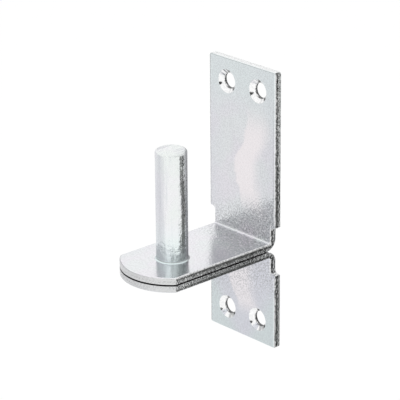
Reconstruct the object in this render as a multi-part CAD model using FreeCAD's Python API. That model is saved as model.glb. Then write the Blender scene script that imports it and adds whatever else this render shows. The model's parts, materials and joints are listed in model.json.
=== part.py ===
"""Gate hinge pin on a wall plate: two folded steel angles, riveted together by an upright pin.

Millimetres, +Z up. The origin is the middle of the screw pattern on the wall plane. The wall is the
plane y = 0, the arms stand out of it along -Y, and the pin points up.
"""

import FreeCAD, Part
import math
import os

# Sheet that both angles are folded from
sheet_thickness = 3.0
bend_inner_radius = 0.8
bend_outer_radius = 5.0  # the sharp punch thins the sheet in the fold
front_edge_radius = 0.5  # rounding of the cut edges on the side that faces into the fold
back_edge_bevel = 0.15  # bevel of the cut edges on the side that faces the wall and the other sheet

# Wall plate: the upright leaves of the two angles, one above the other
plate_height = 120.0
plate_width = 39.0
plate_corner_radius = 1.2
arm_height = 43.0  # bottom edge of the plate up to the plane where the two arms meet

# Screw holes, countersunk on the front
screw_side_distance = 10.4  # hole centre to the side edge of the plate
screw_end_distance = 10.0  # hole centre to the top or bottom edge of the plate
screw_hole_radius = 3.3
countersink_radius = 5.0
countersink_angle = 90.0

# Arms: the level leaves, one lying on the other
arm_length = 63.0  # wall to the tip of the nose
arm_gap = 0.4  # daylight between the two arms, which are not quite flat
nose_radius = 21.3  # free end of the arms, struck about the pin's axis
nose_corner_radius = 0.8

# Relief beside the fold, where the wide leaf narrows to the arm
shoulder_width = 2.7  # on each side
relief_height = 10.3  # plane where the arms meet up to the shoulder
relief_radius = 1.55
shoulder_radius = 0.7

# Pin: a cropped bar with a stepped foot that is riveted over under the arms
pin_offset = 41.7  # wall to pin axis
pin_radius = 6.5
pin_length = 46.5  # above the upper arm
pin_top_radius = 1.3
pin_foot_flare = 0.6  # where the bar meets the upper arm
spigot_radius = 4.75
spigot_clearance = 0.1
rivet_head_radius = 7.0
rivet_head_height = 1.8
rivet_head_bevel = 1.2

# Places that follow from the sizes above
arm_plane_z = arm_height - plate_height / 2
upper_arm_top_z = arm_plane_z + arm_gap / 2 + sheet_thickness
lower_arm_bottom_z = arm_plane_z - arm_gap / 2 - sheet_thickness
arm_width = plate_width - 2 * shoulder_width
nose_centre_y = nose_radius - arm_length
screw_x = plate_width / 2 - screw_side_distance
screw_z = plate_height / 2 - screw_end_distance
overrun = sheet_thickness  # cutting tools reach past the sheet by its own thickness

# The two curves of a shoulder stay within its width, and broken edges within the tightest corner
shoulder_share = 0.95
corner_share = 0.85
curve_scale = min(1.0, shoulder_share * shoulder_width / (relief_radius + shoulder_radius))
relief_curve = curve_scale * relief_radius
shoulder_curve = curve_scale * shoulder_radius
edge_limit = corner_share * min(plate_corner_radius, nose_corner_radius, shoulder_curve)
front_rounding = min(front_edge_radius, edge_limit)
back_bevel = min(back_edge_bevel, edge_limit)

# A difference this small counts as none
same_place = 0.01


def vector(x, y, z):
    return FreeCAD.Vector(x, y, z)


def line(start, end):
    return Part.LineSegment(start, end).toShape()


def arc(start, middle, end):
    return Part.Arc(start, middle, end).toShape()


def parallel(direction, axis):
    return direction.cross(axis).Length < same_place


def rounded_outline(corners):
    """Closed wire through corners given as (point, radius), with a tangent arc at each corner."""
    count = len(corners)
    bends = []
    for i, (point, radius) in enumerate(corners):
        before = (corners[i - 1][0] - point).normalize()
        after = (corners[(i + 1) % count][0] - point).normalize()
        half_angle = before.getAngle(after) / 2
        reach = radius / math.tan(half_angle)
        inward = (before + after).normalize()
        crown = point + inward * (radius / math.sin(half_angle) - radius)
        bends.append((point + before * reach, crown, point + after * reach))
    edges = []
    for i, (start, crown, end) in enumerate(bends):
        if corners[i][1] > 0:
            edges.append(arc(start, crown, end))
        edges.append(line(end, bends[(i + 1) % count][0]))
    return Part.Wire(edges)


def folded_section(leaf_height):
    """Side view of one angle, its outer corner at the origin: wall leaf up +Z, arm along -Y."""
    t = sheet_thickness
    inside = t + bend_inner_radius
    outside = bend_outer_radius
    arm_end = -arm_length - overrun

    def at(y, z):
        return vector(-plate_width / 2, y, z)

    def crown(depth, radius):
        reach = depth + radius * (1 - math.sqrt(0.5))
        return at(-reach, reach)

    edges = [
        line(at(0, leaf_height), at(-t, leaf_height)),
        line(at(-t, leaf_height), at(-t, inside)),
        arc(at(-t, inside), crown(t, bend_inner_radius), at(-inside, t)),
        line(at(-inside, t), at(arm_end, t)),
        line(at(arm_end, t), at(arm_end, 0)),
        line(at(arm_end, 0), at(-outside, 0)),
        arc(at(-outside, 0), crown(0, bend_outer_radius), at(0, outside)),
        line(at(0, outside), at(0, leaf_height)),
    ]
    return Part.Face(Part.Wire(edges))


def front_trim(leaf_height):
    """Front view of one angle, as a block along Y: wide leaf, relieved shoulders, narrow neck."""
    leaf = plate_width / 2
    neck = arm_width / 2
    shoulder = relief_height - arm_gap / 2

    def at(x, z):
        return vector(x, overrun, z)

    corners = [
        (at(-leaf, leaf_height), plate_corner_radius),
        (at(leaf, leaf_height), plate_corner_radius),
        (at(leaf, shoulder), shoulder_curve),
        (at(neck, shoulder), relief_curve),
        (at(neck, -overrun), 0),
        (at(-neck, -overrun), 0),
        (at(-neck, shoulder), relief_curve),
        (at(-leaf, shoulder), shoulder_curve),
    ]
    reach = arm_length + 3 * overrun
    return Part.Face(rounded_outline(corners)).extrude(vector(0, -reach, 0))


def nose_trim(leaf_height):
    """Plan view of one angle, as an upright block: square at the wall, round at the nose."""
    height = leaf_height + 2 * overrun
    width = plate_width + 2 * overrun
    corner = vector(-width / 2, nose_centre_y, -overrun)
    square = Part.makeBox(width, overrun - nose_centre_y, height, corner)
    disc = Part.makeCylinder(nose_radius, height, vector(0, nose_centre_y, -overrun))
    return square.fuse(disc)


def nose_corner_edges(angle):
    """The upright edges where the sides of the arm run out into the round nose."""
    straight = [edge for edge in angle.Edges if isinstance(edge.Curve, Part.Line)]
    upright = [edge for edge in straight if parallel(edge.Curve.Direction, vector(0, 0, 1))]
    return [edge for edge in upright if edge.CenterOfMass.y < nose_centre_y]


def on_side(face, depth, fold_radius):
    """True for a leaf, arm or fold face of one side of the sheet, this deep from the wall side."""
    surface = face.Surface
    if isinstance(surface, Part.Cylinder):
        along_fold = parallel(surface.Axis, vector(1, 0, 0))
        return along_fold and abs(surface.Radius - fold_radius) < same_place
    if isinstance(surface, Part.Plane):
        leaf = parallel(surface.Axis, vector(0, 1, 0)) and abs(surface.Position.y + depth) < same_place
        arm = parallel(surface.Axis, vector(0, 0, 1)) and abs(surface.Position.z - depth) < same_place
        return leaf or arm
    return False


def outline_edges(angle, depth, fold_radius):
    """The edges around one side of the sheet, without those inside it, where leaf, fold and arm join."""
    edges = [edge for face in angle.Faces if on_side(face, depth, fold_radius) for edge in face.Edges]
    return [edge for edge in edges if sum(edge.isSame(other) for other in edges) == 1]


def blank_angle(leaf_height):
    """One folded angle with its edges broken and no holes, its outer corner at the origin."""
    angle = folded_section(leaf_height).extrude(vector(plate_width, 0, 0))
    angle = angle.common(front_trim(leaf_height)).common(nose_trim(leaf_height))
    angle = angle.makeFillet(nose_corner_radius, nose_corner_edges(angle))
    angle = angle.makeFillet(front_rounding, outline_edges(angle, sheet_thickness, bend_inner_radius))
    return angle.makeChamfer(back_bevel, outline_edges(angle, 0, bend_outer_radius))


def screw_hole(x, z):
    """Cutter for one screw hole: a straight hole with a countersink that opens at the front."""
    start = vector(x, -sheet_thickness - overrun, z)
    into_wall = vector(0, 1, 0)
    hole = Part.makeCylinder(screw_hole_radius, sheet_thickness + 2 * overrun, start, into_wall)
    slope = math.tan(math.radians(countersink_angle / 2))
    mouth_radius = countersink_radius + overrun * slope
    depth = (mouth_radius - screw_hole_radius) / slope
    return hole.fuse(Part.makeCone(mouth_radius, screw_hole_radius, depth, start, into_wall))


def spigot_hole():
    """Cutter for the hole that the pin's spigot passes through, in both arms."""
    bottom = lower_arm_bottom_z - overrun
    height = upper_arm_top_z + overrun - bottom
    return Part.makeCylinder(spigot_radius + spigot_clearance, height, vector(0, -pin_offset, bottom))


def drilled(angle, row_z):
    """The angle with a row of two screw holes, and the hole for the pin's spigot."""
    for x in (-screw_x, screw_x):
        angle = angle.cut(screw_hole(x, row_z))
    return angle.cut(spigot_hole())


def upper_angle_plate():
    angle = blank_angle(plate_height - arm_height - arm_gap / 2)
    angle.translate(vector(0, 0, arm_plane_z + arm_gap / 2))
    return drilled(angle, screw_z)


def lower_angle_plate():
    angle = blank_angle(arm_height - arm_gap / 2)
    angle = angle.mirror(vector(0, 0, 0), vector(0, 0, 1))
    angle.translate(vector(0, 0, arm_plane_z - arm_gap / 2))
    return drilled(angle, -screw_z)


def hinge_pin():
    """Half section of the pin, from the rivet head to the rounded top, turned about its axis."""
    seat = lower_arm_bottom_z
    head_end = seat - rivet_head_height
    head_flat = rivet_head_radius - rivet_head_bevel
    rim = head_end + rivet_head_bevel
    foot = upper_arm_top_z
    flare = pin_radius + pin_foot_flare
    top = foot + pin_length
    top_flat = pin_radius - pin_top_radius
    top_start = top - pin_top_radius
    top_rise = pin_top_radius * math.sqrt(0.5)

    def at(radius, z):
        return vector(radius, -pin_offset, z)

    edges = [
        line(at(0, head_end), at(head_flat, head_end)),
        line(at(head_flat, head_end), at(rivet_head_radius, rim)),
        line(at(rivet_head_radius, rim), at(rivet_head_radius, seat)),
        line(at(rivet_head_radius, seat), at(spigot_radius, seat)),
        line(at(spigot_radius, seat), at(spigot_radius, foot)),
        line(at(spigot_radius, foot), at(flare, foot)),
        line(at(flare, foot), at(pin_radius, foot + pin_foot_flare)),
        line(at(pin_radius, foot + pin_foot_flare), at(pin_radius, top_start)),
        arc(at(pin_radius, top_start), at(top_flat + top_rise, top_start + top_rise), at(top_flat, top)),
        line(at(top_flat, top), at(0, top)),
        line(at(0, top), at(0, head_end)),
    ]
    section = Part.Face(Part.Wire(edges))
    return section.revolve(vector(0, -pin_offset, 0), vector(0, 0, 1), 360)


def main():
    os.makedirs("parts", exist_ok=True)
    nodes = {
        "upper_angle_plate": upper_angle_plate(),
        "lower_angle_plate": lower_angle_plate(),
        "hinge_pin": hinge_pin(),
    }
    for name, shape in nodes.items():
        solid = shape.Solids[0]
        solid.exportStep(f"parts/{name}.step")
        print(f"{name}: {len(shape.Solids)} solid, valid {solid.isValid()}, {solid.Volume:.1f} mm3")


main()
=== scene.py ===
# %% [markdown]
# A gate hinge pin in zinc-plated steel.
# Two pieces of sheet steel are stamped, folded to an angle and laid arm on arm. A round pin passes
# through both arms and is riveted over underneath. The upright leaves are screwed to a gate post, and
# the eye of the gate's hinge strap drops over the pin. Everything is then plated with zinc.
# The solids are already modelled, so this lesson is about the finish and the light: bare bright metal
# has almost no colour of its own, and what the eye reads as steel is the room that it mirrors.

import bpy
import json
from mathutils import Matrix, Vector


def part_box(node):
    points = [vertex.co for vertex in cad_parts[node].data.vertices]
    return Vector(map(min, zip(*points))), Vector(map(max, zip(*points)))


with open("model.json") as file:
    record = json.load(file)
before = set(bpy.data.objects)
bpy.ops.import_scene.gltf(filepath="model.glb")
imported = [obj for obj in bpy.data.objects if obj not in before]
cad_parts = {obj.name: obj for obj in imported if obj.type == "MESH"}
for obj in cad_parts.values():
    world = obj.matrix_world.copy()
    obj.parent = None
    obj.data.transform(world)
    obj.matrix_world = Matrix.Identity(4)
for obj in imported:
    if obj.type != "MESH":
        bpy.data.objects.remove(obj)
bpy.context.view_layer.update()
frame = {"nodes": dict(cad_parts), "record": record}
print("pieces:", sorted(frame["nodes"]))

# %% [markdown]
# Real sizes.
# The model is in metres, with the origin in the middle of the screw holes on the wall plane, +Z up along
# the pin and +Y into the wall. Sizes in this file are written in millimetres, as on a drawing, and
# turned to metres where they are used. Places that depend on the model are measured from it.

# %% Measure the pieces
import json
import math

import bpy
from mathutils import Matrix, Vector

MM = 0.001
sheet_thickness = 3.0
upper_low, upper_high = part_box("upper_angle_plate")
lower_low, lower_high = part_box("lower_angle_plate")
pin_low, pin_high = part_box("hinge_pin")
arm_plane_z = (upper_low.z + lower_high.z) / 2
arm_top_z = upper_low.z + sheet_thickness * MM
half_width = upper_high.x
print("arms meet at z =", round(arm_plane_z / MM, 2), "mm")
print("half width of the leaves:", round(half_width / MM, 2), "mm")
print("leaves from z =", round(lower_low.z / MM, 2), "to", round(upper_high.z / MM, 2), "mm")
print("pin from z =", round(pin_low.z / MM, 2), "to", round(pin_high.z / MM, 2), "mm")

# %% [markdown]
# Colours and nodes.
# Colours are picked as sRGB hex values, which is how they look on a screen. Shaders count in linear
# light, so one function turns them over. A second function adds a shader node: properties go in by
# name, each input gets either a plain value or a link from another node's output, and the node's first
# output comes back, ready to be linked on.

# %% Helpers for materials
def linear(hex_colour):
    """An sRGB hex colour as linear red, green, blue and alpha."""
    shares = [int(hex_colour[i : i + 2], 16) / 255 for i in (0, 2, 4)]
    return [s / 12.92 if s <= 0.04045 else ((s + 0.055) / 1.055) ** 2.4 for s in shares] + [1.0]


def add_node(tree, kind, inputs=None, **settings):
    """Add a shader node, set or link its inputs, and give back the first of its outputs in use."""
    node = tree.nodes.new("ShaderNode" + kind)
    for name, value in settings.items():
        setattr(node, name, value)
    for socket, value in (inputs or {}).items():
        if isinstance(value, bpy.types.NodeSocket):
            tree.links.new(value, node.inputs[socket])
        else:
            node.inputs[socket].default_value = value
    return next((output for output in node.outputs if output.enabled), None)


def cycles_per_metre(size_mm):
    """Noise scale that gives features of about this size in millimetres."""
    return 1 / (size_mm * MM)


print("zinc in linear light:", [round(c, 3) for c in linear("EDEBF1")])

# %% [markdown]
# Zinc on rolled sheet.
# The angles are cold-rolled steel sheet, plated with bright zinc and then dipped in a blue passivate.
# Zinc reflects more than four fifths of the light, almost without colour. The passivate is a film thinner
# than a wave of light, so it gives faint drifts of lavender, pink and sea green. Rolling leaves the sheet
# a little wavy, and the zinc crystals give it a fine satin grain. One could paint all this on a texture,
# but patterns worked out from the place in the metal have no seams, and they keep their real size on
# every face.

# %% Start the sheet material
plated_sheet = bpy.data.materials.new("zinc_plated_rolled_steel_sheet")
plated_sheet.use_nodes = True
sheet = plated_sheet.node_tree
sheet.nodes.clear()
sheet_place = add_node(sheet, "TexCoord").node.outputs["Object"]
sheet_at = add_node(sheet, "SeparateXYZ", {"Vector": sheet_place}).node.outputs
print("started", plated_sheet.name)

# %% [markdown]
# The drifts of colour are soft noise about as large as a thumbnail, from lavender to sea green. Towards
# the sides of a leaf, where the bath drains off, the film is bluer, and towards the top end it is
# greener. The steps between the colours are as small as on the real part, where they only show beside
# each other.

# %% Passivate drifts on the sheet
drift_size = 15.0
drift_noise = add_node(
    sheet, "TexNoise", {"Vector": sheet_place, "Scale": cycles_per_metre(drift_size), "Detail": 2.0}
)
drift_share = add_node(
    sheet, "MapRange", {"Value": drift_noise, "From Min": 0.38, "From Max": 0.62},
    interpolation_type="SMOOTHSTEP",
)
drift = add_node(
    sheet, "Mix", {"Factor": drift_share, "A": linear("F1EFF4"), "B": linear("EFF2F3")}, data_type="RGBA"
)
print("passivate drifts are", drift_size, "mm across")

# %% Bluer sides and greener top
side_start = 0.45 * half_width
side_strength = 0.5
top_start = 0.5 * upper_high.z
top_end = 0.9 * upper_high.z
top_strength = 0.75
from_middle = add_node(sheet, "Math", {0: sheet_at["X"]}, operation="ABSOLUTE")
side_share = add_node(
    sheet, "MapRange",
    {"Value": from_middle, "From Min": side_start, "From Max": half_width, "To Max": side_strength},
    interpolation_type="SMOOTHSTEP",
)
sides = add_node(sheet, "Mix", {"Factor": side_share, "A": drift, "B": linear("E9EBF0")}, data_type="RGBA")
top_share = add_node(
    sheet, "MapRange",
    {"Value": sheet_at["Z"], "From Min": top_start, "From Max": top_end, "To Max": top_strength},
    interpolation_type="SMOOTHSTEP",
)
drained = add_node(sheet, "Mix", {"Factor": top_share, "A": sides, "B": linear("E9F2F2")}, data_type="RGBA")
print("the film turns green above z =", round(top_start / MM, 1), "mm")

# %% [markdown]
# The two angles are plated as separate pieces. The lower one took a slightly thicker film, so it is a
# shade deeper and more lavender, and it turns sea green towards its lower corners, where the bath drained
# last. Both angles share one material, and the height of the place in the metal says which of the two
# it is.

# %% Deeper film on the lower angle
blend_height = 2.0
lower_strength = 0.8
drain_slant = 0.62
drain_start = 36.0
drain_end = 46.0
is_lower = add_node(
    sheet, "MapRange",
    {
        "Value": sheet_at["Z"],
        "From Min": arm_plane_z,
        "From Max": arm_plane_z - blend_height * MM,
        "To Max": lower_strength,
    },
)
film = add_node(sheet, "Mix", {"Factor": is_lower, "A": drained, "B": linear("DFE1E9")}, data_type="RGBA")
to_corner = add_node(
    sheet, "Math", {0: sheet_at["Z"], 1: -drain_slant, 2: from_middle}, operation="MULTIPLY_ADD"
)
corner_share = add_node(
    sheet, "MapRange",
    {"Value": to_corner, "From Min": drain_start * MM, "From Max": drain_end * MM},
    interpolation_type="SMOOTHSTEP",
)
corner_share = add_node(sheet, "Math", {0: corner_share, 1: is_lower}, operation="MULTIPLY")
film = add_node(sheet, "Mix", {"Factor": corner_share, "A": film, "B": linear("DEE9E8")}, data_type="RGBA")
print("the lower angle starts under z =", round(arm_plane_z / MM, 1), "mm")

# %% [markdown]
# Rinse water ran down the middle of each leaf and dried there, which leaves a pale, faintly pink bloom.
# It follows an upright line that swings from side to side like a slow wave and is bent further by noise.
# The first step is the distance of a place from that line. On the lower leaf the line lies further left.

# %% Line of the bloom
bloom_middle = 5.2
bloom_swing = 3.9
bloom_period = 48.0
bloom_crest = 38.0
bloom_noise_size = 18.0
bloom_wander = 6.0
bloom_lower_shift = 4.5
bloom_noise = add_node(
    sheet, "TexNoise",
    {"Vector": sheet_place, "Scale": cycles_per_metre(bloom_noise_size), "Detail": 5.0, "Roughness": 0.6},
)
wander = add_node(
    sheet, "MapRange", {"Value": bloom_noise, "To Min": -bloom_wander * MM, "To Max": bloom_wander * MM}
)
bent_x = add_node(sheet, "Math", {0: sheet_at["X"], 1: wander}, operation="ADD")
below_crest = add_node(sheet, "Math", {0: sheet_at["Z"], 1: bloom_crest * MM}, operation="SUBTRACT")
swing_angle = add_node(
    sheet, "Math", {0: below_crest, 1: 2 * math.pi / (bloom_period * MM)}, operation="MULTIPLY"
)
swing = add_node(sheet, "Math", {0: swing_angle}, operation="COSINE")
bloom_line = add_node(
    sheet, "Math", {0: swing, 1: bloom_swing * MM, 2: bloom_middle * MM}, operation="MULTIPLY_ADD"
)
off_bloom = add_node(sheet, "Math", {0: bent_x, 1: bloom_line}, operation="SUBTRACT")
off_bloom = add_node(
    sheet, "Math", {0: is_lower, 1: bloom_lower_shift * MM, 2: off_bloom}, operation="MULTIPLY_ADD"
)
print("the bloom swings", bloom_swing, "mm to each side")

# %% [markdown]
# The bloom has a crisp left side, where the drying water stopped, and a soft right side. It fades out
# towards the arm and towards the end of the leaf, and it is fainter on the lower leaf. Both leaves use
# the distance from the plane where the arms meet, and the shorter lower leaf counts it almost double.

# %% Pale bloom down the middle of the leaves
bloom_half_width = 6.5
crisp_outer = -1.05 * bloom_half_width
crisp_inner = -0.78 * bloom_half_width
soft_outer = 1.5 * bloom_half_width
soft_inner = 0.4 * bloom_half_width
bloom_starts = (10.0, 24.0)
bloom_ends = (46.0, 62.0)
lower_bloom_strength = 0.75
crisp_left = add_node(
    sheet, "MapRange",
    {"Value": off_bloom, "From Min": crisp_outer * MM, "From Max": crisp_inner * MM},
    interpolation_type="SMOOTHSTEP",
)
soft_right = add_node(
    sheet, "MapRange",
    {"Value": off_bloom, "From Min": soft_outer * MM, "From Max": soft_inner * MM},
    interpolation_type="SMOOTHSTEP",
)
from_arms = add_node(sheet, "Math", {0: sheet_at["Z"], 1: arm_plane_z}, operation="SUBTRACT")
from_arms = add_node(sheet, "Math", {0: from_arms}, operation="ABSOLUTE")
along = add_node(sheet, "Math", {0: from_arms, 1: is_lower, 2: from_arms}, operation="MULTIPLY_ADD")
starts = add_node(
    sheet, "MapRange",
    {"Value": along, "From Min": bloom_starts[0] * MM, "From Max": bloom_starts[1] * MM},
    interpolation_type="SMOOTHSTEP",
)
ends = add_node(
    sheet, "MapRange",
    {"Value": along, "From Min": bloom_ends[1] * MM, "From Max": bloom_ends[0] * MM},
    interpolation_type="SMOOTHSTEP",
)
fainter = add_node(sheet, "MapRange", {"Value": is_lower, "To Min": 1.0, "To Max": lower_bloom_strength})
bloom = crisp_left
for share in (soft_right, starts, ends, fainter):
    bloom = add_node(sheet, "Math", {0: bloom, 1: share}, operation="MULTIPLY")
bloomed = add_node(sheet, "Mix", {"Factor": bloom, "A": film, "B": linear("FFFAFB")}, data_type="RGBA")
print("bloom is", 2 * bloom_half_width, "mm wide")

# %% [markdown]
# Where the sheet was cut.
# The blank was sheared and stamped out, so its narrow faces are not rolled skin: they are steel that was
# first squeezed smooth by the punch and then torn. A face belongs to the rolled skin if it looks along Y
# on the leaf, or along Z on the arm. Everything else that is steel is a cut face.

# %% Find the cut faces
leaf_depth = 5.1
arm_depth = 6.0
normal = add_node(sheet, "NewGeometry").node.outputs["Normal"]
facing = add_node(sheet, "SeparateXYZ", {"Vector": normal}).node.outputs
along_y = add_node(sheet, "Math", {0: facing["Y"]}, operation="ABSOLUTE")
along_z = add_node(sheet, "Math", {0: facing["Z"]}, operation="ABSOLUTE")
on_leaf = add_node(sheet, "Math", {0: sheet_at["Y"], 1: -leaf_depth * MM}, operation="GREATER_THAN")
on_arm = add_node(sheet, "Math", {0: from_arms, 1: arm_depth * MM}, operation="LESS_THAN")
leaf_skin = add_node(sheet, "Math", {0: along_y, 1: on_leaf}, operation="MULTIPLY")
arm_skin = add_node(sheet, "Math", {0: along_z, 1: on_arm}, operation="MULTIPLY")
skin = add_node(sheet, "Math", {0: leaf_skin, 1: arm_skin}, operation="MAXIMUM")
cut = add_node(
    sheet, "MapRange", {"Value": skin, "From Min": 0.65, "From Max": 0.35}, interpolation_type="SMOOTHSTEP"
)
rolled = add_node(
    sheet, "MapRange", {"Value": skin, "From Min": 0.8, "From Max": 0.95}, interpolation_type="SMOOTHSTEP"
)
print("cut faces are found by the way they look")

# %% [markdown]
# The torn part of a cut face is the half away from the punch, which here is the side of the wall and of
# the other arm. Its relief is full there and less on the squeezed part. The zinc is thin on the sides, so
# they are greyer than the skin, and the ends that look up are painted pale, as painted light from above.

# %% Torn half of the cut faces
torn_depth = 1.9
torn_full_depth = 0.7 * torn_depth
squeezed_relief = 0.45
cut_strength = 0.8
from_wall = add_node(sheet, "Math", {0: sheet_at["Y"], 1: -1.0}, operation="MULTIPLY")
depth = add_node(sheet, "Math", {0: from_wall, 1: from_arms}, operation="MINIMUM")
torn = add_node(
    sheet, "MapRange",
    {
        "Value": depth,
        "From Min": torn_depth * MM,
        "From Max": torn_full_depth * MM,
        "To Min": squeezed_relief,
    },
    interpolation_type="SMOOTHSTEP",
)
roughened = add_node(sheet, "Math", {0: cut, 1: torn}, operation="MULTIPLY")
# Cut faces that look up are painted paler: painted light from above.
painted_top_light = add_node(sheet, "MapRange", {"Value": facing["Z"], "From Min": 0.3, "From Max": 0.9})
cut_tone = add_node(
    sheet, "Mix", {"Factor": painted_top_light, "A": linear("D9DAD9"), "B": linear("FCFCFC")}, data_type="RGBA"
)
greyed = add_node(sheet, "Math", {0: cut, 1: cut_strength}, operation="MULTIPLY")
cut_colour = add_node(sheet, "Mix", {"Factor": greyed, "A": bloomed, "B": cut_tone}, data_type="RGBA")
print("torn within", torn_depth, "mm of the back of the sheet")

# %% [markdown]
# The arms lie a few tenths of a millimetre apart. The faces next to the narrow gap are painted near
# black, a painted shade between the parts, so that the gap reads as a black line round the nose.

# %% Painted shade between the arms
gap_shade_reach = 0.42
gap_shade_full_reach = 0.75 * gap_shade_reach
between = add_node(
    sheet, "MapRange", {"Value": from_arms, "From Min": gap_shade_reach * MM, "From Max": gap_shade_full_reach * MM}
)
# The near black here is painted shade in the gap between the arms.
gap_shade_colour = add_node(
    sheet, "Mix", {"Factor": between, "A": cut_colour, "B": linear("121214")}, data_type="RGBA"
)
print("bare steel within", gap_shade_reach, "mm of the plane between the arms")

# %% [markdown]
# The screw holes are found by the distance from their axes, with the spacing and radius that the model's
# record gives. All four are alike, so the distance is folded over from side to side and from top to
# bottom, and one set of nodes serves them all.

# %% Find the screw holes
screws = next(mount["dims"] for mount in frame["record"]["mounts"] if mount["name"] == "screw_holes")
hole_radius = screws["hole_r_mm"]
sink_radius = 5.0
beside_hole = add_node(
    sheet, "Math", {0: from_middle, 1: screws["spacing_x_mm"] / 2 * MM}, operation="SUBTRACT"
)
from_origin = add_node(sheet, "Math", {0: sheet_at["Z"]}, operation="ABSOLUTE")
above_hole = add_node(
    sheet, "Math", {0: from_origin, 1: screws["spacing_y_mm"] / 2 * MM}, operation="SUBTRACT"
)
off_hole = add_node(sheet, "CombineXYZ", {"X": beside_hole, "Z": above_hole})
from_hole = add_node(sheet, "VectorMath", {0: off_hole}, operation="LENGTH")
print("holes of radius", hole_radius, "mm with countersinks of radius", sink_radius, "mm")

# %% [markdown]
# A countersink is turned by a cutter, so its cone is the brightest part of the sheet. The punched wall
# behind it is painted dark grey, a painted shade that draws the dark crescent inside each hole, but for a
# narrow band next to the cone that is left without the shade. That band shows on the left wall of the
# holes only, the wall that looks right.

# %% Bright countersinks and painted shade in the holes
sink_floor = 1.0
band_starts = (0.7, 0.95)
wall_radii = (1.01 * hole_radius, 1.08 * hole_radius)
cone_radii = (0.98 * sink_radius, 1.02 * sink_radius)
hole_shade_strength = 0.9
hole_wall_shade = add_node(
    sheet, "MapRange",
    {
        "Value": from_hole,
        "From Min": wall_radii[1] * MM,
        "From Max": wall_radii[0] * MM,
        "To Max": hole_shade_strength,
    },
)
unshaded_band = add_node(
    sheet, "MapRange",
    {"Value": from_wall, "From Min": band_starts[0] * MM, "From Max": band_starts[1] * MM},
)
faces_right = add_node(sheet, "MapRange", {"Value": facing["X"], "From Min": 0.3, "From Max": 0.6})
unshaded_band = add_node(sheet, "Math", {0: unshaded_band, 1: faces_right}, operation="MULTIPLY")
shaded_wall = add_node(sheet, "Math", {0: 1.0, 1: unshaded_band}, operation="SUBTRACT")
hole_wall_shade = add_node(sheet, "Math", {0: hole_wall_shade, 1: shaded_wall}, operation="MULTIPLY")
in_front_half = add_node(sheet, "Math", {0: from_wall, 1: sink_floor * MM}, operation="GREATER_THAN")
sunk = add_node(
    sheet, "MapRange", {"Value": from_hole, "From Min": cone_radii[1] * MM, "From Max": cone_radii[0] * MM}
)
sunk = add_node(sheet, "Math", {0: sunk, 1: in_front_half}, operation="MULTIPLY")
sunk_colour = add_node(
    sheet, "Mix", {"Factor": sunk, "A": gap_shade_colour, "B": linear("FFFFFF")}, data_type="RGBA"
)
# The dark grey is painted shade on the walls of the holes.
sheet_colour = add_node(
    sheet, "Mix", {"Factor": hole_wall_shade, "A": sunk_colour, "B": linear("3C3C3E")}, data_type="RGBA"
)
print("bright cones start", sink_floor, "mm from the wall")

# %% [markdown]
# Relief of the skin.
# Heights are added up in millimetres, and at the end one bump node's distance turns them to metres. Two
# patterns belong to the rolled skin: the long waves of the sheet, and the grain of the zinc, which is
# drawn out along the arm, the way that the sheet was rolled. Real zinc grain is a few hundredths of a
# millimetre across, too fine for the picture, so it is drawn about as coarse as the sparkle that a camera
# sees. By the fold, bending has opened the grain and raised single crystals, the sparks, and more so on
# the right. The back was pressed flat on the die, so its grain is lower.

# %% Waves, grain and sparks of the skin
wave_size = 20.0
wave_height = 0.35
grain_size = 0.6
grain_stretch = 0.65
grain_height = 0.03
fold_grain_height = 0.1
grain_fades = (9.0, 26.0)
spark_size = 0.8
spark_height = 0.19
spark_fades = (10.0, 20.0)
fold_zone_slant = 0.35
back_share = 0.25
waves = add_node(
    sheet, "TexNoise", {"Vector": sheet_place, "Scale": cycles_per_metre(wave_size), "Detail": 1.0}
)
along_arm = add_node(sheet, "Mapping", {"Vector": sheet_place, "Scale": (1.0, grain_stretch, 1.0)})
grain = add_node(
    sheet, "TexNoise", {"Vector": along_arm, "Scale": cycles_per_metre(grain_size), "Detail": 0.0}
)
sparks = add_node(
    sheet, "TexNoise", {"Vector": along_arm, "Scale": cycles_per_metre(spark_size), "Detail": 0.0}
)
waves_mm = add_node(sheet, "Math", {0: waves, 1: wave_height}, operation="MULTIPLY")
from_fold = add_node(sheet, "Math", {0: from_wall, 1: from_arms}, operation="MAXIMUM")
grain_here = add_node(
    sheet, "MapRange",
    {
        "Value": from_fold,
        "From Min": grain_fades[0] * MM,
        "From Max": grain_fades[1] * MM,
        "To Min": fold_grain_height,
        "To Max": grain_height,
    },
)
grain_mm = add_node(sheet, "Math", {0: grain, 1: grain_here}, operation="MULTIPLY")
slanted = add_node(
    sheet, "Math", {0: sheet_at["X"], 1: -fold_zone_slant, 2: from_fold}, operation="MULTIPLY_ADD"
)
sparks_here = add_node(
    sheet, "MapRange",
    {
        "Value": slanted,
        "From Min": spark_fades[0] * MM,
        "From Max": spark_fades[1] * MM,
        "To Min": spark_height,
        "To Max": 0.0,
    },
)
sparks_up = add_node(sheet, "MapRange", {"Value": sparks, "From Min": 0.6, "From Max": 0.8})
grain_mm = add_node(sheet, "Math", {0: sparks_up, 1: sparks_here, 2: grain_mm}, operation="MULTIPLY_ADD")
grain_mm = add_node(sheet, "Math", {0: grain_mm, 1: rolled}, operation="MULTIPLY")
pressed_flat = add_node(
    sheet, "MapRange", {"Value": facing["Y"], "From Max": 0.5, "To Min": 1.0, "To Max": back_share}
)
grain_mm = add_node(sheet, "Math", {0: grain_mm, 1: pressed_flat}, operation="MULTIPLY")
height_mm = add_node(sheet, "Math", {0: grain_mm, 1: waves_mm}, operation="ADD")
print("waves", wave_size, "mm, grain", grain_size, "mm, sparks", spark_size, "mm")

# %% [markdown]
# Relief of the cuts.
# The tears of the cut faces are a deeper noise. The cones of the countersinks are a little dished, as a
# worn cutter leaves them: a parabola across the cone, lowest in its middle, bends what they mirror.

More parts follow.
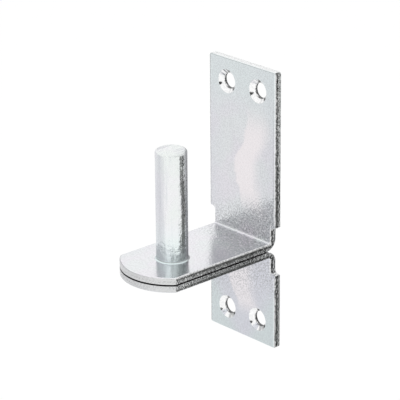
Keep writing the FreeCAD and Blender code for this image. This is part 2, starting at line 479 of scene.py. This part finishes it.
# %% Tears and dished countersinks
tear_size = 0.65
tear_height = 0.38
dish_depth = 0.08
cone_middle = (hole_radius + sink_radius) / 2
tears = add_node(
    sheet, "TexNoise", {"Vector": sheet_place, "Scale": cycles_per_metre(tear_size), "Detail": 0.0}
)
tears_mm = add_node(sheet, "Math", {0: tears, 1: tear_height}, operation="MULTIPLY")
tears_mm = add_node(sheet, "Math", {0: tears_mm, 1: roughened}, operation="MULTIPLY")
height_mm = add_node(sheet, "Math", {0: height_mm, 1: tears_mm}, operation="ADD")
off_cone = add_node(sheet, "Math", {0: from_hole, 1: cone_middle * MM}, operation="SUBTRACT")
off_cone_mm = add_node(sheet, "Math", {0: off_cone, 1: 1 / MM}, operation="MULTIPLY")
dish = add_node(sheet, "Math", {0: off_cone_mm, 1: off_cone_mm}, operation="MULTIPLY")
on_cone = add_node(sheet, "Math", {0: from_hole, 1: sink_radius * MM}, operation="LESS_THAN")
dish = add_node(sheet, "Math", {0: dish, 1: on_cone}, operation="MULTIPLY")
height_mm = add_node(sheet, "Math", {0: dish, 1: dish_depth, 2: height_mm}, operation="MULTIPLY_ADD")
print("tears", tear_size, "mm across, countersinks dished")

# %% [markdown]
# Shearing rolls the edge of the skin over. The solids have a small break there, and a parabola of the
# last millimetre beside it tilts the reflection, so that the leaf's side catches a thin line of light.
# The arm and the neck beside the fold are narrower than the leaf. They have their own side, and no
# roll-over, because there it would only mirror the dark flags.

# %% Rolled-over edges of the leaves
rolled_over_width = 1.2
rolled_over_slope = 1.2
neck_reach = 11.5
arm_half_width = 16.8
leaf_side = half_width / MM - rolled_over_width
arm_side = arm_half_width - rolled_over_width
on_neck = add_node(sheet, "Math", {0: from_arms, 1: neck_reach * MM}, operation="LESS_THAN")
side_x = add_node(sheet, "MapRange", {"Value": on_neck, "To Min": leaf_side, "To Max": arm_side})
from_middle_mm = add_node(sheet, "Math", {0: from_middle, 1: 1 / MM}, operation="MULTIPLY")
past_side = add_node(sheet, "Math", {0: from_middle_mm, 1: side_x}, operation="SUBTRACT")
off_neck = add_node(sheet, "Math", {0: 1.0, 1: on_neck}, operation="SUBTRACT")
over_side = add_node(sheet, "Math", {0: past_side, 1: off_neck}, operation="MULTIPLY")
over_side = add_node(sheet, "Math", {0: over_side, 1: 0.0}, operation="MAXIMUM")
over_side = add_node(sheet, "Math", {0: over_side, 1: over_side}, operation="MULTIPLY")
height_mm = add_node(
    sheet, "Math",
    {0: over_side, 1: -rolled_over_slope / (2 * rolled_over_width), 2: height_mm},
    operation="MULTIPLY_ADD",
)
sheet_relief = add_node(sheet, "Bump", {"Height": height_mm, "Distance": MM, "Strength": 1.0})
print("edges rolled over within", rolled_over_width, "mm of the side")

# %% [markdown]
# The crystals of the zinc also differ a little in brightness, which gives a quiet speckle from every
# side. By the fold, where bending has opened the grain, it is stronger, and there it also darkens the
# sheet as painted shade. Its zone reaches furthest on the right of the upper leaf and on the left of the
# lower leaf. The bloom of the upper leaf hides some of it, and the inside of the fold has none: the punch
# of the folding press burnished it to a bright line.

# %% Speckle of the zinc
speckle_share = 0.2
fold_speckle_and_shade_share = 0.68
speckle_fades = (9.0, 20.0)
lower_slant = 0.8
lower_reach = 9.0
bloom_polish = 0.7
fold_line_reach = 4.1
fold_line_depth = 2.5
speckle = add_node(sheet, "MapRange", {"Value": grain, "From Min": 0.44, "From Max": 0.6})
lower_shift = add_node(
    sheet, "Math", {0: sheet_at["X"], 1: lower_slant, 2: -lower_reach * MM}, operation="MULTIPLY_ADD"
)
from_speckle = add_node(sheet, "Math", {0: is_lower, 1: lower_shift, 2: slanted}, operation="MULTIPLY_ADD")
speckle_here = add_node(
    sheet, "MapRange",
    {
        "Value": from_speckle,
        "From Min": speckle_fades[0] * MM,
        "From Max": speckle_fades[1] * MM,
        "To Min": fold_speckle_and_shade_share,
        "To Max": speckle_share,
    },
)
in_fold = add_node(sheet, "Math", {0: from_fold, 1: fold_line_reach * MM}, operation="LESS_THAN")
in_front = add_node(sheet, "Math", {0: depth, 1: fold_line_depth * MM}, operation="GREATER_THAN")
fold_line = add_node(sheet, "Math", {0: in_fold, 1: in_front}, operation="MULTIPLY")
off_line = add_node(sheet, "Math", {0: 1.0, 1: fold_line}, operation="SUBTRACT")
polish = add_node(sheet, "MapRange", {"Value": is_lower, "To Min": bloom_polish, "To Max": 0.0})
polish = add_node(sheet, "Math", {0: bloom, 1: polish}, operation="MULTIPLY")
smoother = add_node(sheet, "Math", {0: 1.0, 1: polish}, operation="SUBTRACT")
for share in (speckle_here, off_line, smoother):
    speckle = add_node(sheet, "Math", {0: speckle, 1: share}, operation="MULTIPLY")
# Near the fold the speckle also stands in for the shade there.
speckled = add_node(
    sheet, "Mix", {"Factor": speckle, "A": sheet_colour, "B": linear("BEBFC1")}, data_type="RGBA"
)
print("speckle as coarse as the grain,", grain_size, "mm")

# %% [markdown]
# The sheared sides are pitted, and zinc hardly reaches into the pits. They are as coarse as the tears,
# and they show most towards the front of the sheet, where the squeezed band is smooth between them.

# %% Pits of the sheared sides
pit_share = 0.75
pit_depths = (1.0, 2.2)
torn_pit_share = 0.35
pits = add_node(
    sheet, "MapRange", {"Value": tears, "From Min": 0.42, "From Max": 0.58, "To Max": pit_share}
)
pitted = add_node(
    sheet, "MapRange",
    {
        "Value": depth,
        "From Min": pit_depths[0] * MM,
        "From Max": pit_depths[1] * MM,
        "To Min": torn_pit_share,
    },
)
pits = add_node(sheet, "Math", {0: pits, 1: pitted}, operation="MULTIPLY")
along_x = add_node(sheet, "Math", {0: facing["X"]}, operation="ABSOLUTE")
sheared = add_node(sheet, "MapRange", {"Value": along_x, "From Min": 0.8, "From Max": 0.95})
pits = add_node(sheet, "Math", {0: pits, 1: sheared}, operation="MULTIPLY")
pitted_colour = add_node(
    sheet, "Mix", {"Factor": pits, "A": speckled, "B": linear("7C7D7C")}, data_type="RGBA"
)
print("pits", tear_size, "mm across on the sides")

# %% [markdown]
# Zinc builds up on sharp edges, where the current is strongest, and comes out pale and matt there, like
# frost. The frost is a hair line along the front edge of the leaves and the top edge of the upper arm, in
# patches. It stops at the outline, so that the shoulders beside the neck stay bare, and on the lower
# angle the arm's own edge is left out.

# %% Frosted edges
frost_depth = (2.5, 2.75)
frost_height = (2.45, 2.75)
lower_arm_clearance = 1.25
frost_width = 0.6
frost_full_width = 0.35
frost_overhang = 0.15
front_edge = add_node(
    sheet, "MapRange",
    {"Value": from_wall, "From Min": frost_depth[0] * MM, "From Max": frost_depth[1] * MM},
)
above_lower = add_node(
    sheet, "Math", {0: is_lower, 1: -lower_arm_clearance * MM, 2: from_arms}, operation="MULTIPLY_ADD"
)
top_edge = add_node(
    sheet, "MapRange",
    {"Value": above_lower, "From Min": frost_height[0] * MM, "From Max": frost_height[1] * MM},
)
at_side = add_node(
    sheet, "MapRange",
    {
        "Value": past_side,
        "From Min": rolled_over_width - frost_width,
        "From Max": rolled_over_width - frost_full_width,
    },
)
inside_outline = add_node(
    sheet, "Math", {0: past_side, 1: rolled_over_width + frost_overhang}, operation="LESS_THAN"
)
patchy = add_node(sheet, "MapRange", {"Value": tears, "From Min": 0.38, "From Max": 0.52, "To Min": 0.4})
frosted = front_edge
for share in (top_edge, at_side, inside_outline, patchy):
    frosted = add_node(sheet, "Math", {0: frosted, 1: share}, operation="MULTIPLY")
sheet_finish = add_node(
    sheet, "Mix", {"Factor": frosted, "A": pitted_colour, "B": linear("F4F4F5")}, data_type="RGBA"
)
print("frost", frost_width, "mm wide along the edges")

# %% [markdown]
# The shader is a metal. Satin zinc has a roughness between 0.1 and 0.2, which drifts like the bloom. The
# cut faces are a touch rougher, the arm is rubbed duller than the leaf, and the burnished line in the fold
# is smoother. Only the frost is less than a metal: it scatters the light.

# %% Finish the sheet material
satin_low = 0.11
satin_high = 0.17
cut_roughness = 0.02
fold_line_roughness = -0.07
arm_roughness = 0.05
frost_metal = 0.3
satin = add_node(
    sheet, "MapRange",
    {"Value": bloom_noise, "From Min": 0.35, "From Max": 0.65, "To Min": satin_low, "To Max": satin_high},
)
sheet_roughness = satin
for place, change in ((cut, cut_roughness), (fold_line, fold_line_roughness), (on_arm, arm_roughness)):
    sheet_roughness = add_node(
        sheet, "Math", {0: place, 1: change, 2: sheet_roughness}, operation="MULTIPLY_ADD"
    )
sheet_metal = add_node(sheet, "MapRange", {"Value": frosted, "To Min": 1.0, "To Max": frost_metal})
sheet_shader = add_node(
    sheet, "BsdfPrincipled",
    {
        "Base Color": sheet_finish,
        "Metallic": sheet_metal,
        "Roughness": sheet_roughness,
        "Normal": sheet_relief,
    },
)
add_node(sheet, "OutputMaterial", {"Surface": sheet_shader})
print(plated_sheet.name, "has", len(sheet.nodes), "nodes")

# %% [markdown]
# Zinc on drawn bar.
# The pin is a length of drawn round bar. The drawing die leaves fine lines along the bar, and tumbling
# leaves shallow dents, so the reflections on it waver. The plating over it is brighter and more mottled
# than on the rolled sheet, because the bar's skin is rougher.

# %% Start the bar material
plated_bar = bpy.data.materials.new("zinc_plated_drawn_steel_bar")
plated_bar.use_nodes = True
bar = plated_bar.node_tree
bar.nodes.clear()
bar_place = add_node(bar, "TexCoord").node.outputs["Object"]
bar_at = add_node(bar, "SeparateXYZ", {"Vector": bar_place}).node.outputs
print("started", plated_bar.name)

# %% [markdown]
# Drawing lines are noise that is stretched along the bar, and dents and mottle are even noise, one wide
# and one fine. Towards the foot, where the bar was gripped and upset to form the rivet, the mottle is
# stronger. Real drawing lines are finer than the picture can show, so they are drawn about a millimetre
# apart.

# %% Relief of the bar
line_size = 0.9
line_stretch = 0.05
line_height = 0.1
mottle_size = 1.2
mottle_height = 0.11
gripped_mottle_height = 1.8 * mottle_height
gripped_length = 9.0
dent_size = 7.0
dent_height = 0.3
along_bar = add_node(bar, "Mapping", {"Vector": bar_place, "Scale": (1.0, 1.0, line_stretch)})
lines = add_node(
    bar, "TexNoise", {"Vector": along_bar, "Scale": cycles_per_metre(line_size), "Detail": 1.0}
)
mottle = add_node(
    bar, "TexNoise", {"Vector": bar_place, "Scale": cycles_per_metre(mottle_size), "Detail": 1.0}
)
gripped = add_node(
    bar, "MapRange",
    {
        "Value": bar_at["Z"],
        "From Min": arm_plane_z + 2 * gripped_length * MM,
        "From Max": arm_plane_z + gripped_length * MM,
        "To Min": mottle_height,
        "To Max": gripped_mottle_height,
    },
    interpolation_type="SMOOTHSTEP",
)
mottle_mm = add_node(bar, "Math", {0: mottle, 1: gripped}, operation="MULTIPLY")
bar_height_mm = add_node(bar, "Math", {0: lines, 1: line_height, 2: mottle_mm}, operation="MULTIPLY_ADD")
dents = add_node(
    bar, "TexNoise", {"Vector": bar_place, "Scale": cycles_per_metre(dent_size), "Detail": 0.0}
)
bar_height_mm = add_node(
    bar, "Math", {0: dents, 1: dent_height, 2: bar_height_mm}, operation="MULTIPLY_ADD"
)
bar_relief = add_node(bar, "Bump", {"Height": bar_height_mm, "Distance": MM, "Strength": 1.0})
print("drawing lines", line_size, "mm apart, mottle", mottle_size, "mm, dents", dent_size, "mm")

# %% [markdown]
# The film on the bar drifts between a neutral and a faintly green grey, with greyer streaks along the
# drawing lines.

# %% Film on the bar
bar_drift_size = 9.0
streak_strength = 0.6
bar_drift = add_node(
    bar, "TexNoise", {"Vector": bar_place, "Scale": cycles_per_metre(bar_drift_size), "Detail": 2.0}
)
bar_share = add_node(
    bar, "MapRange", {"Value": bar_drift, "From Min": 0.38, "From Max": 0.62},
    interpolation_type="SMOOTHSTEP",
)
drifted = add_node(
    bar, "Mix", {"Factor": bar_share, "A": linear("F4F4F6"), "B": linear("F1F5F3")}, data_type="RGBA"
)
streak_share = add_node(
    bar, "MapRange", {"Value": lines, "From Min": 0.5, "From Max": 0.72, "To Max": streak_strength}
)
streaked = add_node(
    bar, "Mix", {"Factor": streak_share, "A": drifted, "B": linear("DCE0E4")}, data_type="RGBA"
)
print("film drifts", bar_drift_size, "mm across with streaks along the bar")

# %% [markdown]
# The bar was cropped to length and tumbled. Its end shows a few marks of the blade, all one way, and its
# rim, between the end and the side, is scoured. The way that a face looks tells the two from the side.

# %% Cropped end and rim of the pin
blade_mark_size = 1.1
blade_mark_stretch = 0.06
blade_mark_turn = math.radians(-17)
blade_mark_strength = 0.7
bar_normal = add_node(bar, "NewGeometry").node.outputs["Normal"]
bar_facing = add_node(bar, "SeparateXYZ", {"Vector": bar_normal}).node.outputs
on_end = add_node(bar, "MapRange", {"Value": bar_facing["Z"], "From Min": 0.9, "From Max": 0.98})
turned_up = add_node(bar, "MapRange", {"Value": bar_facing["Z"], "From Min": 0.05, "From Max": 0.3})
rim = add_node(bar, "Math", {0: turned_up, 1: on_end}, operation="SUBTRACT")
across_end = add_node(
    bar, "Mapping",
    {"Vector": bar_place, "Rotation": (0, 0, blade_mark_turn), "Scale": (1.0, blade_mark_stretch, 1.0)},
)
blade_marks = add_node(
    bar, "TexNoise", {"Vector": across_end, "Scale": cycles_per_metre(blade_mark_size), "Detail": 1.0}
)
mark_share = add_node(
    bar, "MapRange",
    {"Value": blade_marks, "From Min": 0.56, "From Max": 0.66, "To Max": blade_mark_strength},
)
mark_share = add_node(bar, "Math", {0: mark_share, 1: on_end}, operation="MULTIPLY")
marked = add_node(
    bar, "Mix", {"Factor": mark_share, "A": streaked, "B": linear("CFCFD6")}, data_type="RGBA"
)
print("blade marks", blade_mark_size, "mm apart on the end")

# %% [markdown]
# Towards the foot the film turns a faint sea green, because the corner with the arm holds the bath
# longest. The narrow crevice just above the flare of the foot is painted dark, a painted shade.

# %% Foot of the pin, with painted shade in its crevice
foot_strength = 0.9
crease_low = 0.35
crease_high = 0.8
crease_shade_strength = 0.7
at_foot = add_node(
    bar, "MapRange",
    {
        "Value": bar_at["Z"],
        "From Min": arm_top_z + 2 * gripped_length * MM,
        "From Max": arm_top_z,
        "To Max": foot_strength,
    },
)
foot_colour = add_node(
    bar, "Mix", {"Factor": at_foot, "A": marked, "B": linear("EFFBFB")}, data_type="RGBA"
)
above_crease = add_node(
    bar, "Math", {0: bar_at["Z"], 1: arm_top_z + crease_low * MM}, operation="GREATER_THAN"
)
crease = add_node(
    bar, "MapRange",
    {
        "Value": bar_at["Z"],
        "From Min": arm_top_z + crease_high * MM,
        "From Max": arm_top_z + crease_low * MM,
        "To Max": crease_shade_strength,
    },
)
crease = add_node(bar, "Math", {0: crease, 1: above_crease}, operation="MULTIPLY")
# The dark grey is painted shade in the crevice above the foot.
crease_shaded = add_node(
    bar, "Mix", {"Factor": crease, "A": foot_colour, "B": linear("5A5C5C")}, data_type="RGBA"
)
print("dark crease from", crease_low, "to", crease_high, "mm above the arm")

# %% [markdown]
# The colour isn't the same all round the pin. On the left it is more lavender and darker, a lavender tint
# with painted shade. Towards the wall it is painted grey, a painted shade on the pin's dark side. The end
# looks up and has neither, so for the left side the upward look is added in.

# %% Tint and painted shade round the pin
left_tint_and_shade_strength = 0.45
wall_side_painted_shade = add_node(
    bar, "MapRange", {"Value": bar_facing["Y"], "From Min": 0.1, "From Max": 0.4},
    interpolation_type="SMOOTHSTEP",
)
right_or_up = add_node(bar, "Math", {0: bar_facing["X"], 1: bar_facing["Z"]}, operation="ADD")
left_tint_and_shade = add_node(
    bar, "MapRange",
    {"Value": right_or_up, "From Min": 0.6, "From Max": 0.0, "To Max": left_tint_and_shade_strength},
    interpolation_type="SMOOTHSTEP",
)
left_tinted_and_shaded = add_node(bar, "Mix", {"Factor": left_tint_and_shade, "A": crease_shaded, "B": linear("D9DAE2")}, data_type="RGBA")
# The grey towards the wall is painted shade on the pin's dark side.
bar_colour = add_node(bar, "Mix", {"Factor": wall_side_painted_shade, "A": left_tinted_and_shaded, "B": linear("B2B4B6")}, data_type="RGBA")
print("thin zinc on the side of the wall")

# %% [markdown]
# The shader of the bar is a metal too. Its roughness follows the mottle and rises towards the foot. The
# scoured rim is rougher still and half matt, so that it reads as a soft pale ring.

# %% Finish the bar shader
bar_satin_low = 0.2
bar_satin_high = 0.28
rim_roughness = 0.3
foot_roughness = 0.14
rim_metal = 0.35
bar_satin = add_node(
    bar, "MapRange",
    {"Value": mottle, "From Min": 0.3, "From Max": 0.7, "To Min": bar_satin_low, "To Max": bar_satin_high},
)
bar_roughness = add_node(bar, "Math", {0: rim, 1: rim_roughness, 2: bar_satin}, operation="MULTIPLY_ADD")
foot_blur = add_node(
    bar, "MapRange",
    {
        "Value": bar_at["Z"],
        "From Min": arm_top_z + gripped_length * MM,
        "From Max": arm_top_z,
        "To Max": foot_roughness,
    },
)
bar_roughness = add_node(bar, "Math", {0: bar_roughness, 1: foot_blur}, operation="ADD")
bar_metal = add_node(bar, "MapRange", {"Value": rim, "To Min": 1.0, "To Max": rim_metal})
bar_shader = add_node(
    bar, "BsdfPrincipled",
    {"Base Color": bar_colour, "Metallic": bar_metal, "Roughness": bar_roughness, "Normal": bar_relief},
)
add_node(bar, "OutputMaterial", {"Surface": bar_shader})
print(plated_bar.name, "has", len(bar.nodes), "nodes")

# %% [markdown]
# The solids keep their shape, and only the material in their slots changes. Object coordinates are the
# same as the model's own, because every solid sits at the origin.

# %% Put the materials on the pieces
finishes = {"upper_angle_plate": plated_sheet, "lower_angle_plate": plated_sheet, "hinge_pin": plated_bar}
for name, finish in finishes.items():
    slots = frame["nodes"][name].data.materials
    slots.clear()
    slots.append(finish)
    print(name, "is", finish.name)

# %% [markdown]
# A white floor.
# The hinge pin hangs free in front of white. A sheet of white paper lies well below it, so that the
# object's soft shadow falls on it without touching the picture's middle. To the camera and in the metal
# the paper is almost white by itself, and the rest of its look is plain diffuse paper, which keeps the
# shadow.

# %% Floor
floor_drop = 450.0
floor_size = 8000.0
shadow_share = 0.25
bpy.ops.mesh.primitive_plane_add(size=floor_size * MM, location=(0, 0, -floor_drop * MM))
floor = bpy.context.object
floor.name = "studio_floor"
white_paper = bpy.data.materials.new("white_paper_floor")
white_paper.use_nodes = True
paper = white_paper.node_tree
paper.nodes.clear()
glow = add_node(paper, "Emission", {"Color": linear("FFFFFF"), "Strength": 1.0})
matt = add_node(paper, "BsdfDiffuse", {"Color": linear("FFFFFF")})
shown = add_node(paper, "MixShader", {0: shadow_share, 1: glow, 2: matt})
rays = add_node(paper, "LightPath").node.outputs
mirrored = add_node(
    paper, "Math", {0: rays["Is Glossy Ray"], 1: rays["Is Transmission Ray"]}, operation="ADD"
)
seen = add_node(paper, "Math", {0: mirrored, 1: rays["Is Camera Ray"]}, operation="ADD", use_clamp=True)
both = add_node(paper, "MixShader", {0: seen, 1: matt, 2: shown})
add_node(paper, "OutputMaterial", {"Surface": both})
floor.data.materials.append(white_paper)
print("floor lies", floor_drop, "mm under the origin")

# %% [markdown]
# A white room.
# The light is a white tent all round, the plainest light there is. At a strength of 1 a matt colour looks
# just as it is written.

# %% World
world = bpy.data.worlds.new("white_light_tent")
bpy.context.scene.world = world
world.use_nodes = True
tent = world.node_tree
tent.nodes.clear()
tent_light = add_node(tent, "Background", {"Color": linear("FFFFFF"), "Strength": 1.0})
add_node(tent, "OutputWorld", {"Surface": tent_light})
print("world:", world.name)

# %% [markdown]
# The camera.
# It stands to the right and a little above, almost a metre away, with a long lens. Its place was found
# by fitting the model's edges to the picture. The three axes of the camera are worked out from the
# angles, and a small roll turns the picture about the line of sight.

# %% Camera
azimuth = math.radians(47.86)
elevation = math.radians(21.203)
roll = math.radians(-0.459)
lens_mm = 203.8
near_clip = 50.0
distance = 922.7 * MM
target = Vector((-5.587, -21.369, 4.098)) * MM

heading = Vector((math.sin(azimuth), -math.cos(azimuth), 0))
level = Vector((math.cos(azimuth), math.sin(azimuth), 0))
back = heading * math.cos(elevation) + Vector((0, 0, math.sin(elevation)))
upward = back.cross(level)
side = math.cos(roll) * level + math.sin(roll) * upward
top = math.cos(roll) * upward - math.sin(roll) * level
lens = bpy.data.cameras.new("camera")
lens.lens = lens_mm
lens.clip_start = near_clip * MM
camera = bpy.data.objects.new("camera", lens)
bpy.context.scene.collection.objects.link(camera)
turn = Matrix((side, top, back)).transposed().to_4x4()
camera.matrix_world = Matrix.Translation(target + back * distance) @ turn
bpy.context.scene.camera = camera
print("camera stands", round(distance / MM), "mm from its target")

# %% [markdown]
# Cards round the object.
# In an all-white tent polished metal turns white and loses its shape, so a photographer hangs grey and
# dark cards beside the object, where only the metal sees them. Each card here is a strip of a cylinder
# round the object. Its place is given in degrees: round from the camera's heading, left negative, and
# up from the horizon. The cards show only in reflections and cast no shade.

# %% Helpers for cards
card_radius = 500.0
card_steps = 24


def show_in_mirrors_only(stand_in, name, tone):
    """One even tone of grey on a card or disc that nothing but reflections see."""
    shade_paper = bpy.data.materials.new(name)
    shade_paper.use_nodes = True
    tree = shade_paper.node_tree
    tree.nodes.clear()
    shade = add_node(tree, "Emission", {"Color": linear(tone), "Strength": 1.0})
    add_node(tree, "OutputMaterial", {"Surface": shade})
    stand_in.data.materials.append(shade_paper)
    stand_in.visible_camera = False
    stand_in.visible_diffuse = False
    stand_in.visible_shadow = False


def hang_card(name, left, right, low, high, tone, radius=card_radius, centre=Vector()):
    """A curved card between two headings and two heights in degrees, in one tone of grey."""
    points = []
    for i in range(card_steps + 1):
        round_angle = math.radians(left + (right - left) * i / card_steps)
        outward = heading * math.cos(round_angle) + level * math.sin(round_angle)
        for height in (low, high):
            rise = Vector((0, 0, math.tan(math.radians(height))))
            points.append((centre + (outward + rise) * radius) * MM)
    faces = [(2 * i, 2 * i + 2, 2 * i + 3, 2 * i + 1) for i in range(card_steps)]
    mesh = bpy.data.meshes.new(name)
    mesh.from_pydata(points, [], faces)
    card = bpy.data.objects.new(name, mesh)
    bpy.context.scene.collection.objects.link(card)
    show_in_mirrors_only(card, name, tone)
    print(name, "from", left, "to", right, "degrees")


# %% [markdown]
# The four pale cards low on the left are what the fronts of the leaves mirror. Their tones differ a
# little, so the leaves are an uneven light grey, and the pin gets a soft dip on its left. The grey card
# above them is what the arm and the leaf show to each other: it darkens both near the fold, and the white
# tent above it draws the thin bright line in the fold itself. The pale card behind is what the flat of
# the arm mirrors.

# %% Hang the pale cards
hang_card("pale_card_back", left=-185, right=-104, low=-50, high=-2, tone="F2F2F3")
hang_card("pale_card_left", left=-104, right=-92, low=-50, high=-2, tone="EDEDEE")
hang_card("pale_dip_left", left=-92, right=-80, low=-50, high=-2, tone="E4E4E6")
hang_card("pale_step_left", left=-80, right=-50, low=-50, high=-2, tone="F2F2F3")
hang_card("grey_card_left", left=-160, right=-45, low=2, high=32, tone="C0C1C1")
hang_card("pale_card_behind", left=158, right=212, low=4, high=50, tone="FDFDFD")

# %% [markdown]
# Dark flags on the right draw the dark side of the pin and of the sheared sides. Three of them stand
# close to the part, so that the sides and the pin see them and the back of the leaves doesn't. One
# stands far off, and the grey card above it shades the pin's own image in the arm.

# %% Hang the dark flags
near = dict(radius=50.0, centre=Vector((0, -20, 0)))
hang_card("dark_flag_leaf", left=78, right=92, low=-62, high=54, tone="444544", **near)
hang_card("dark_flag_pin", left=55, right=78, low=-62, high=18, tone="6A6B6A", **near)
hang_card("dark_flag_arm", left=27, right=55, low=-42, high=-24, tone="6A6B6A", **near)
hang_card("dark_flag_far", left=64, right=79, low=-50, high=4, tone="6A6B6A")
hang_card("grey_card_right", left=22, right=112, low=6, high=40, tone="808181")

# %% [markdown]
# The camera itself is dark, and small marks of it show wherever a curved face looks straight back: in the
# countersinks and on the rounded top of the pin. A dark disc behind the camera stands for it.

# %% Dark camera in the reflections
disc_radius = 205.0
disc_corners = 48
disc_behind = 60.0
disc_distance = distance + disc_behind * MM
bpy.ops.mesh.primitive_circle_add(vertices=disc_corners, radius=disc_radius * MM, fill_type="NGON")
disc = bpy.context.object
disc.name = "dark_camera_disc"
disc.matrix_world = Matrix.Translation(target + back * disc_distance) @ turn
show_in_mirrors_only(disc, "black_camera_cloth", "303030")
print("camera disc is", 2 * disc_radius, "mm across")

# %% [markdown]
# A small softbox high on the left gives the soft shadow its direction. It is hidden from the mirror rays,
# because it would draw a hard spot. Most of the light comes from the tent, so the lamp stays weak.

# %% Softbox
softbox_size = 420.0
softbox_watts = 1.6
softbox_away = 1400.0
softbox_direction = Vector((-0.691, -0.16, 0.70)).normalized()
light = bpy.data.lights.new("softbox", "AREA")
light.shape = "SQUARE"
light.size = softbox_size * MM
light.energy = softbox_watts
softbox = bpy.data.objects.new("softbox", light)
bpy.context.scene.collection.objects.link(softbox)
softbox.location = softbox_direction * softbox_away * MM
softbox.rotation_mode = "QUATERNION"
softbox.rotation_quaternion = softbox_direction.to_track_quat("Z", "Y")
softbox.visible_camera = False
softbox.visible_glossy = False
print("softbox:", softbox_watts, "W")

# %% [markdown]
# The picture is shown with the Standard view, which leaves colours as they are.

# %% Standard view
bpy.context.scene.view_settings.view_transform = "Standard"
